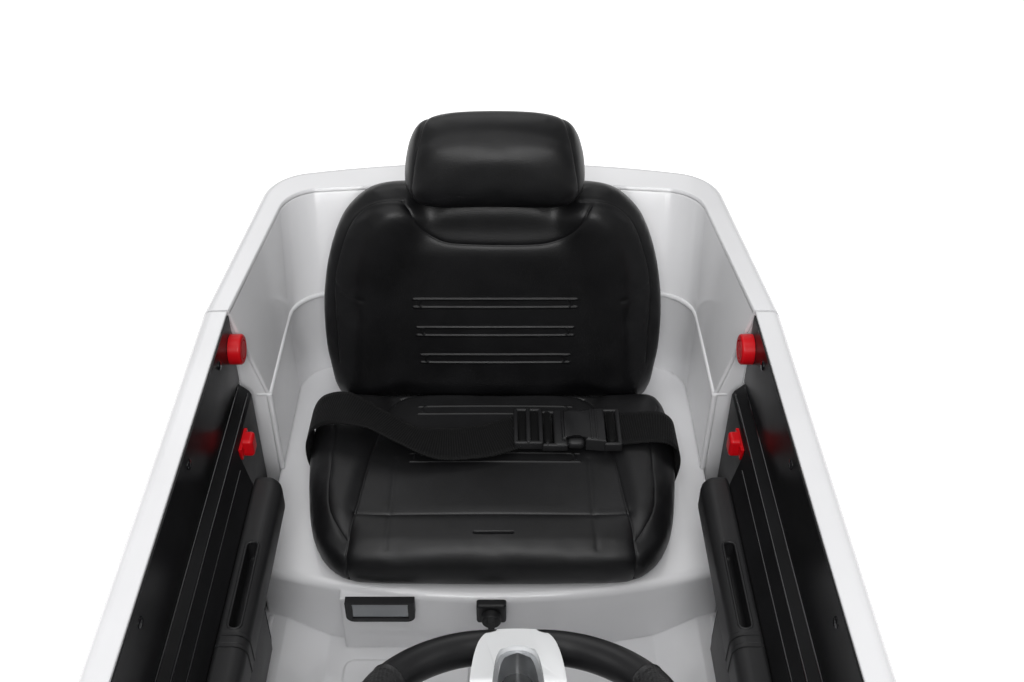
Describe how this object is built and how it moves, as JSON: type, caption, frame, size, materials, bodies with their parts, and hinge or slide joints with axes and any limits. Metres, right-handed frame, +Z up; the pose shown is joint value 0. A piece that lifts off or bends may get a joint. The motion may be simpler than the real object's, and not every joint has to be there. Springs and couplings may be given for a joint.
{
  "type": "electric ride-on car",
  "caption": "Open white ride-on toy car with a padded black seat and lap belt, opening doors, a steering wheel linked to the front wheels and electric drive at the rear.",
  "frame": {"origin": "on the ground under the middle of the car", "axes": "+Z up, the car faces -Y, +X to the car's left"},
  "size_m": [0.604, 1.1619, 0.5436],
  "materials": {
    "white_gloss": "glossy moulded plastic",
    "black_matte": "fine grained moulded plastic",
    "black_gloss": "glossy moulded plastic",
    "smoke_clear": "tinted clear plastic",
    "lamp_clear": "clear plastic lens",
    "lamp_red": "clear red plastic lens",
    "steel": "zinc plated",
    "motor_can": "plain can",
    "battery_case": "moulded case",
    "seat_leather": "satin grained leather look",
    "webbing": "woven webbing",
    "red_plastic": "glossy moulded plastic",
    "wheel_grip": "soft touch with perforated grips",
    "bright_trim": "bright plated plastic",
    "smoke_grey": "clear grey plastic",
    "tyre_black": "moulded tread",
    "rim_silver": "silver painted plastic"
  },
  "bodies": {
    "chassis": {"chassis_pan": "black_matte", "cockpit_tub": "white_gloss", "rear_shell": "white_gloss", "front_shell": "white_gloss", "fender_flares": "black_matte", "side_steps": "black_matte", "front_bumper": "black_matte", "rear_bumper": "black_matte", "grille": "black_gloss", "headlights": "lamp_clear", "taillights": "lamp_red", "dashboard": "black_matte", "windscreen": "smoke_clear", "door_hinge_pins": "steel", "front_axle_beam": "steel", "rear_axle": "steel", "gearbox_left": "black_matte", "gearbox_right": "black_matte", "drive_motors": "motor_can", "battery": "battery_case", "control_box": "black_matte", "seat_cushion": "seat_leather", "seat_back": "seat_leather", "headrest": "seat_leather", "seat_lock_bracket": "black_matte", "charge_port_frame": "black_matte", "seat_belt_left": "webbing", "seat_belt_right": "webbing", "buckle_socket": "black_gloss", "buckle_plug": "black_gloss"},
    "steering": {"steering_wheel": "wheel_grip", "steering_trim": "bright_trim", "steering_column": "steel"},
    "horn": {"horn_button": "black_gloss"},
    "tie_rod": {"tie_rod": "steel"},
    "pedal": {"accelerator_pedal": "black_matte"},
    "shift": {"shift_lever": "black_matte"},
    "power": {"power_button": "red_plastic"},
    "seat_lock": {"seat_lock_knob": "black_matte"},
    "charge_flap": {"charge_port_flap": "smoke_grey"},
    "door_left": {"door_skin_left": "white_gloss", "door_panel_left": "black_gloss", "door_armrest_left": "black_matte"},
    "lock_knob_left": {"door_knob_left": "red_plastic"},
    "latch_left": {"door_latch_left": "red_plastic"},
    "steering_knuckle_left": {"knuckle_left": "steel"},
    "door_right": {"door_skin_right": "white_gloss", "door_panel_right": "black_gloss", "door_armrest_right": "black_matte"},
    "lock_knob_right": {"door_knob_right": "red_plastic"},
    "latch_right": {"door_latch_right": "red_plastic"},
    "steering_knuckle_right": {"knuckle_right": "steel"},
    "wheel_front_left": {"tyre_front_left": "tyre_black", "rim_front_left": "rim_silver"},
    "wheel_front_right": {"tyre_front_right": "tyre_black", "rim_front_right": "rim_silver"},
    "wheel_rear_left": {"tyre_rear_left": "tyre_black", "rim_rear_left": "rim_silver"},
    "wheel_rear_right": {"tyre_rear_right": "tyre_black", "rim_rear_right": "rim_silver"}
  },
  "joints": [
    {"name": "door_left_swing", "type": "hinge", "parent": "chassis", "child": "door_left", "pos_m": [0.2635, -0.15, 0.257], "axis": [0, 0, -1], "range_deg": [0, 58]},
    {"name": "lock_knob_left_turn", "type": "hinge", "parent": "door_left", "child": "lock_knob_left", "pos_m": [0.235, 0.2665, 0.383], "axis": [1, 0, 0], "range_deg": [0, 90]},
    {"name": "latch_left_slide", "type": "slide", "parent": "door_left", "child": "latch_left", "axis": [0, 1, 0], "range_m": [0, 0.012]},
    {"name": "door_right_swing", "type": "hinge", "parent": "chassis", "child": "door_right", "pos_m": [-0.2635, -0.15, 0.257], "axis": [0, 0, 1], "range_deg": [0, 58]},
    {"name": "lock_knob_right_turn", "type": "hinge", "parent": "door_right", "child": "lock_knob_right", "pos_m": [-0.235, 0.2665, 0.383], "axis": [-1, 0, 0], "range_deg": [0, 90]},
    {"name": "latch_right_slide", "type": "slide", "parent": "door_right", "child": "latch_right", "axis": [0, 1, 0], "range_m": [0, 0.012]},
    {"name": "steering_turn", "type": "hinge", "parent": "chassis", "child": "steering", "pos_m": [0.02, -0.147, 0.43], "axis": [0, 0.4617, 0.887], "range_deg": [-42, 42]},
    {"name": "knuckle_left_swivel", "type": "hinge", "parent": "chassis", "child": "steering_knuckle_left", "pos_m": [0.205, -0.335, 0.11], "axis": [0, 0, 1], "range_deg": [-26, 26]},
    {"name": "knuckle_right_swivel", "type": "hinge", "parent": "chassis", "child": "steering_knuckle_right", "pos_m": [-0.205, -0.335, 0.11], "axis": [0, 0, 1], "range_deg": [-26, 26]},
    {"name": "tie_rod_pivot", "type": "hinge", "parent": "steering_knuckle_left", "child": "tie_rod", "pos_m": [0.205, -0.29, 0.095], "axis": [0, 0, 1], "range_deg": [-26, 26]},
    {"name": "horn_press", "type": "slide", "parent": "steering", "child": "horn", "axis": [0, -0.4617, -0.887], "range_m": [0, 0.0025], "stiffness_N_per_m": 600, "springref_m": -0.003},
    {"name": "wheel_front_left_roll", "type": "hinge", "parent": "steering_knuckle_left", "child": "wheel_front_left", "pos_m": [0.265, -0.335, 0.11], "axis": [1, 0, 0], "continuous": true},
    {"name": "wheel_front_right_roll", "type": "hinge", "parent": "steering_knuckle_right", "child": "wheel_front_right", "pos_m": [-0.265, -0.335, 0.11], "axis": [1, 0, 0], "continuous": true},
    {"name": "wheel_rear_left_roll", "type": "hinge", "parent": "chassis", "child": "wheel_rear_left", "pos_m": [0.265, 0.42, 0.11], "axis": [1, 0, 0], "continuous": true},
    {"name": "wheel_rear_right_roll", "type": "hinge", "parent": "chassis", "child": "wheel_rear_right", "pos_m": [-0.265, 0.42, 0.11], "axis": [1, 0, 0], "continuous": true},
    {"name": "pedal_press", "type": "hinge", "parent": "chassis", "child": "pedal", "pos_m": [-0.073, -0.178, 0.137], "axis": [1, 0, 0], "range_deg": [0, 14], "stiffness_Nm_per_rad": 0.8, "springref_deg": -17.19},
    {"name": "shift_tilt", "type": "hinge", "parent": "chassis", "child": "shift", "pos_m": [-0.138, -0.188, 0.385], "axis": [1, 0, 0], "range_deg": [-15, 15]},
    {"name": "power_press", "type": "slide", "parent": "chassis", "child": "power", "axis": [0, -1, 0], "range_m": [0, 0.003], "stiffness_N_per_m": 500, "springref_m": -0.002},
    {"name": "seat_lock_turn", "type": "hinge", "parent": "chassis", "child": "seat_lock", "pos_m": [0, 0.1087, 0.189], "axis": [0, 1, 0], "range_deg": [0, 90]},
    {"name": "charge_flap_lift", "type": "hinge", "parent": "chassis", "child": "charge_flap", "pos_m": [-0.1045, 0.115, 0.198], "axis": [-1, 0, 0], "range_deg": [0, 85]}
  ],
  "couplings": [
    {"joint": "knuckle_left_swivel", "follows": "steering_turn", "ratio": 0.5823},
    {"joint": "knuckle_right_swivel", "follows": "steering_turn", "ratio": 0.5823},
    {"joint": "tie_rod_pivot", "follows": "steering_turn", "ratio": -0.5823}
  ]
}
